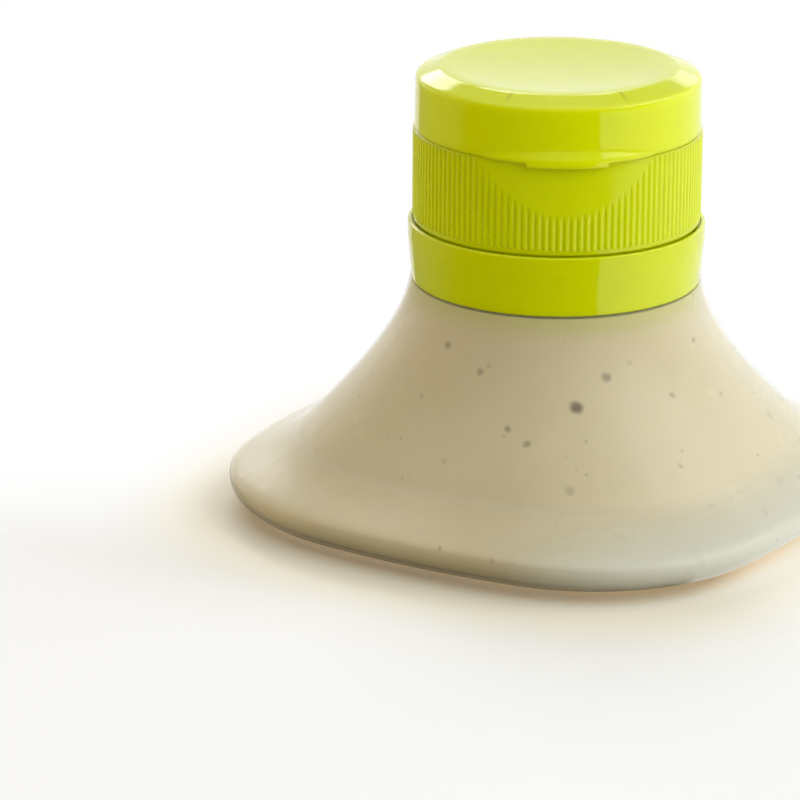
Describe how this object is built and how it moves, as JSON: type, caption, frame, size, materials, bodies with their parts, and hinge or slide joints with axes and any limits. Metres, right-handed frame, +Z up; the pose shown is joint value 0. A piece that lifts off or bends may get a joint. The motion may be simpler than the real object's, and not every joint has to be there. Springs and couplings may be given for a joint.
{
  "type": "dispensing sauce bottle with flip cap",
  "caption": "Squat flared squeeze bottle filled with herb-flecked sauce, with a ribbed screw closure, a hinged flip-top lid over a pouring spout and a tamper band.",
  "frame": {"origin": "centre of the base, on the surface the bottle stands on", "axes": "+Z up along the bottle's axis, -Y towards the thumb lip of the lid, +Y towards the lid's hinge"},
  "size_m": [0.0968, 0.0968, 0.0662],
  "materials": {
    "bottle_plastic": "translucent, smooth, glossy",
    "sauce": "opaque cream with dark herb and pepper specks",
    "closure_plastic": "smooth glossy lime green",
    "liner_foam": "matt white foam"
  },
  "bodies": {
    "bottle": {"bottle_shell": "bottle_plastic", "neck_thread": "bottle_plastic", "sauce_fill": "sauce"},
    "neck_liner": {"liner_ring": "liner_foam"},
    "closure": {"closure_shell": "closure_plastic", "closure_thread": "closure_plastic", "pour_spout": "closure_plastic", "hinge_web": "closure_plastic", "hinge_strap_left": "closure_plastic", "hinge_strap_right": "closure_plastic"},
    "lid": {"lid_shell": "closure_plastic", "lid_plug": "closure_plastic"},
    "tamper_ring": {"tamper_band": "closure_plastic", "band_catches": "closure_plastic", "band_bridges": "closure_plastic"}
  },
  "joints": [
    {"name": "closure_rise", "type": "slide", "parent": "bottle", "child": "neck_liner", "axis": [0, 0, 1], "range_m": [0, 0.00423]},
    {"name": "closure_turn", "type": "hinge", "parent": "neck_liner", "child": "closure", "pos_m": [0, 0, 0.05], "axis": [0, 0, 1], "range_deg": [0, 360]},
    {"name": "lid_flip", "type": "hinge", "parent": "closure", "child": "lid", "pos_m": [0, 0.02155, 0.05702], "axis": [-1, 0, 0], "range_deg": [0, 150], "deforming": ["hinge_web", "hinge_strap_left", "hinge_strap_right"]},
    {"name": "band_spin", "type": "hinge", "parent": "bottle", "child": "tamper_ring", "pos_m": [0, 0, 0.039], "axis": [0, 0, 1], "continuous": true}
  ],
  "couplings": [
    {"joint": "closure_turn", "follows": "closure_rise", "rad_per_m": 1484.3}
  ]
}
